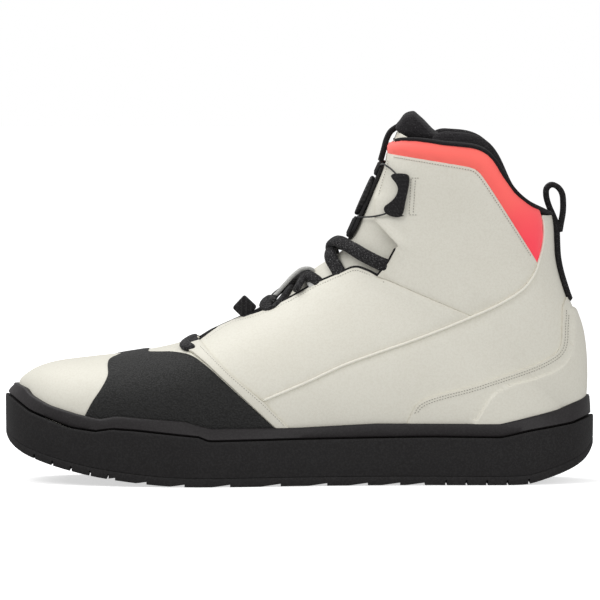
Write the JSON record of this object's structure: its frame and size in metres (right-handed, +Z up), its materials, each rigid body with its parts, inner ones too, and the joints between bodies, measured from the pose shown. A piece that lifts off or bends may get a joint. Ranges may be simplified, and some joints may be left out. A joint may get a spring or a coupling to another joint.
{
  "type": "high-top boot with dial closure",
  "caption": "Left high-top leather boot with a lugged rubber cupsole, padded collar, hinged tongue flap carrying a rotary cable dial, laces and a webbing heel loop.",
  "frame": {"origin": "middle of the footprint box, on the ground under the lugs", "axes": "+Z up, +X towards the heel, toe towards -X, +Y towards the inner (medial) side of the left foot"},
  "size_m": [0.3006, 0.109, 0.188],
  "materials": {
    "leather": "full-grain off-white leather, fine pebble, satin",
    "thread_leather": "off-white leather trim with stitched edges",
    "toe_rubber": "black rubberised leather, pebbled",
    "sole_rubber": "black matte rubber, fine grain",
    "coral": "coral padded collar fabric",
    "mesh": "black spacer mesh",
    "binding": "black knitted binding",
    "webbing": "black woven webbing",
    "grey_webbing": "grey-white webbing",
    "lace": "black lace with light flecks",
    "dial_plastic": "black nylon",
    "dial_cap": "black nylon cap",
    "cable": "coated steel cable",
    "foam": "midsole foam",
    "steel": "steel shank",
    "board": "fibre lasting board",
    "footbed": "moulded footbed with fabric top",
    "stiffener": "thermoplastic stiffener"
  },
  "bodies": {
    "boot": {"outsole": "sole_rubber", "sidewall": "sole_rubber", "rand": "sole_rubber", "midsole_foam": "foam", "shank": "steel", "insole_board": "board", "footbed": "footbed", "vamp": "leather", "quarter_lateral": "leather", "quarter_medial": "leather", "heel_panel_lateral": "leather", "heel_panel_medial": "leather", "ankle_panel_lateral": "leather", "ankle_panel_medial": "leather", "collar_lateral": "coral", "collar_medial": "coral", "welt_lateral": "thread_leather", "welt_medial": "thread_leather", "trim_strip_lateral": "thread_leather", "trim_strip_medial": "thread_leather", "toe_patch": "toe_rubber", "heel_overlay": "leather", "toe_puff": "stiffener", "heel_counter": "stiffener", "lining": "mesh", "tongue_lower": "leather", "cable_lateral": "cable", "cable_medial": "cable", "cable_guide_lateral": "webbing", "cable_guide_medial": "webbing", "lace_forefoot": "lace", "lace_instep_over": "lace", "lace_instep_under": "lace", "lace_keeper": "webbing", "lace_loop_front_lateral": "grey_webbing", "lace_loop_middle_lateral": "grey_webbing", "lace_loop_rear_lateral": "grey_webbing", "lace_loop_front_medial": "grey_webbing", "lace_loop_middle_medial": "grey_webbing", "lace_loop_rear_medial": "grey_webbing", "collar_binding": "binding", "heel_strap": "webbing"},
    "tongue": {"shin_flap": "leather", "tongue_pad": "mesh", "tongue_pull_tab": "mesh", "dial_base": "dial_plastic"},
    "dial_spool": {"dial_spool": "dial_plastic"},
    "dial_carrier": {"dial_carrier": "dial_cap"},
    "dial_knob": {"dial_knob": "dial_plastic"},
    "heel_loop": {"heel_loop": "webbing"}
  },
  "joints": [
    {"name": "tongue_tilt", "type": "hinge", "parent": "boot", "child": "tongue", "pos_m": [0.02525, 0.0015, 0.1225], "axis": [0, -1, 0], "range_deg": [0, 20], "stiffness_Nm_per_rad": 0.4, "deforming": ["cable_lateral", "cable_medial"]},
    {"name": "dial_pull", "type": "slide", "parent": "tongue", "child": "dial_carrier", "axis": [-0.9121, 0, 0.4099], "range_m": [0, 0.003]},
    {"name": "dial_turn", "type": "hinge", "parent": "dial_carrier", "child": "dial_knob", "pos_m": [0.03275, 0.0015, 0.1458], "axis": [-0.9121, 0, 0.4099], "continuous": true},
    {"name": "spool_turn", "type": "hinge", "parent": "tongue", "child": "dial_spool", "pos_m": [0.03275, 0.0015, 0.1458], "axis": [-0.9121, 0, 0.4099], "continuous": true},
    {"name": "loop_swing", "type": "hinge", "parent": "boot", "child": "heel_loop", "pos_m": [0.13255, 0.0015, 0.1304], "axis": [0, 1, 0], "range_deg": [-5, 75], "stiffness_Nm_per_rad": 0.02}
  ],
  "couplings": [
    {"joint": "spool_turn", "follows": "dial_turn", "ratio": 1}
  ]
}
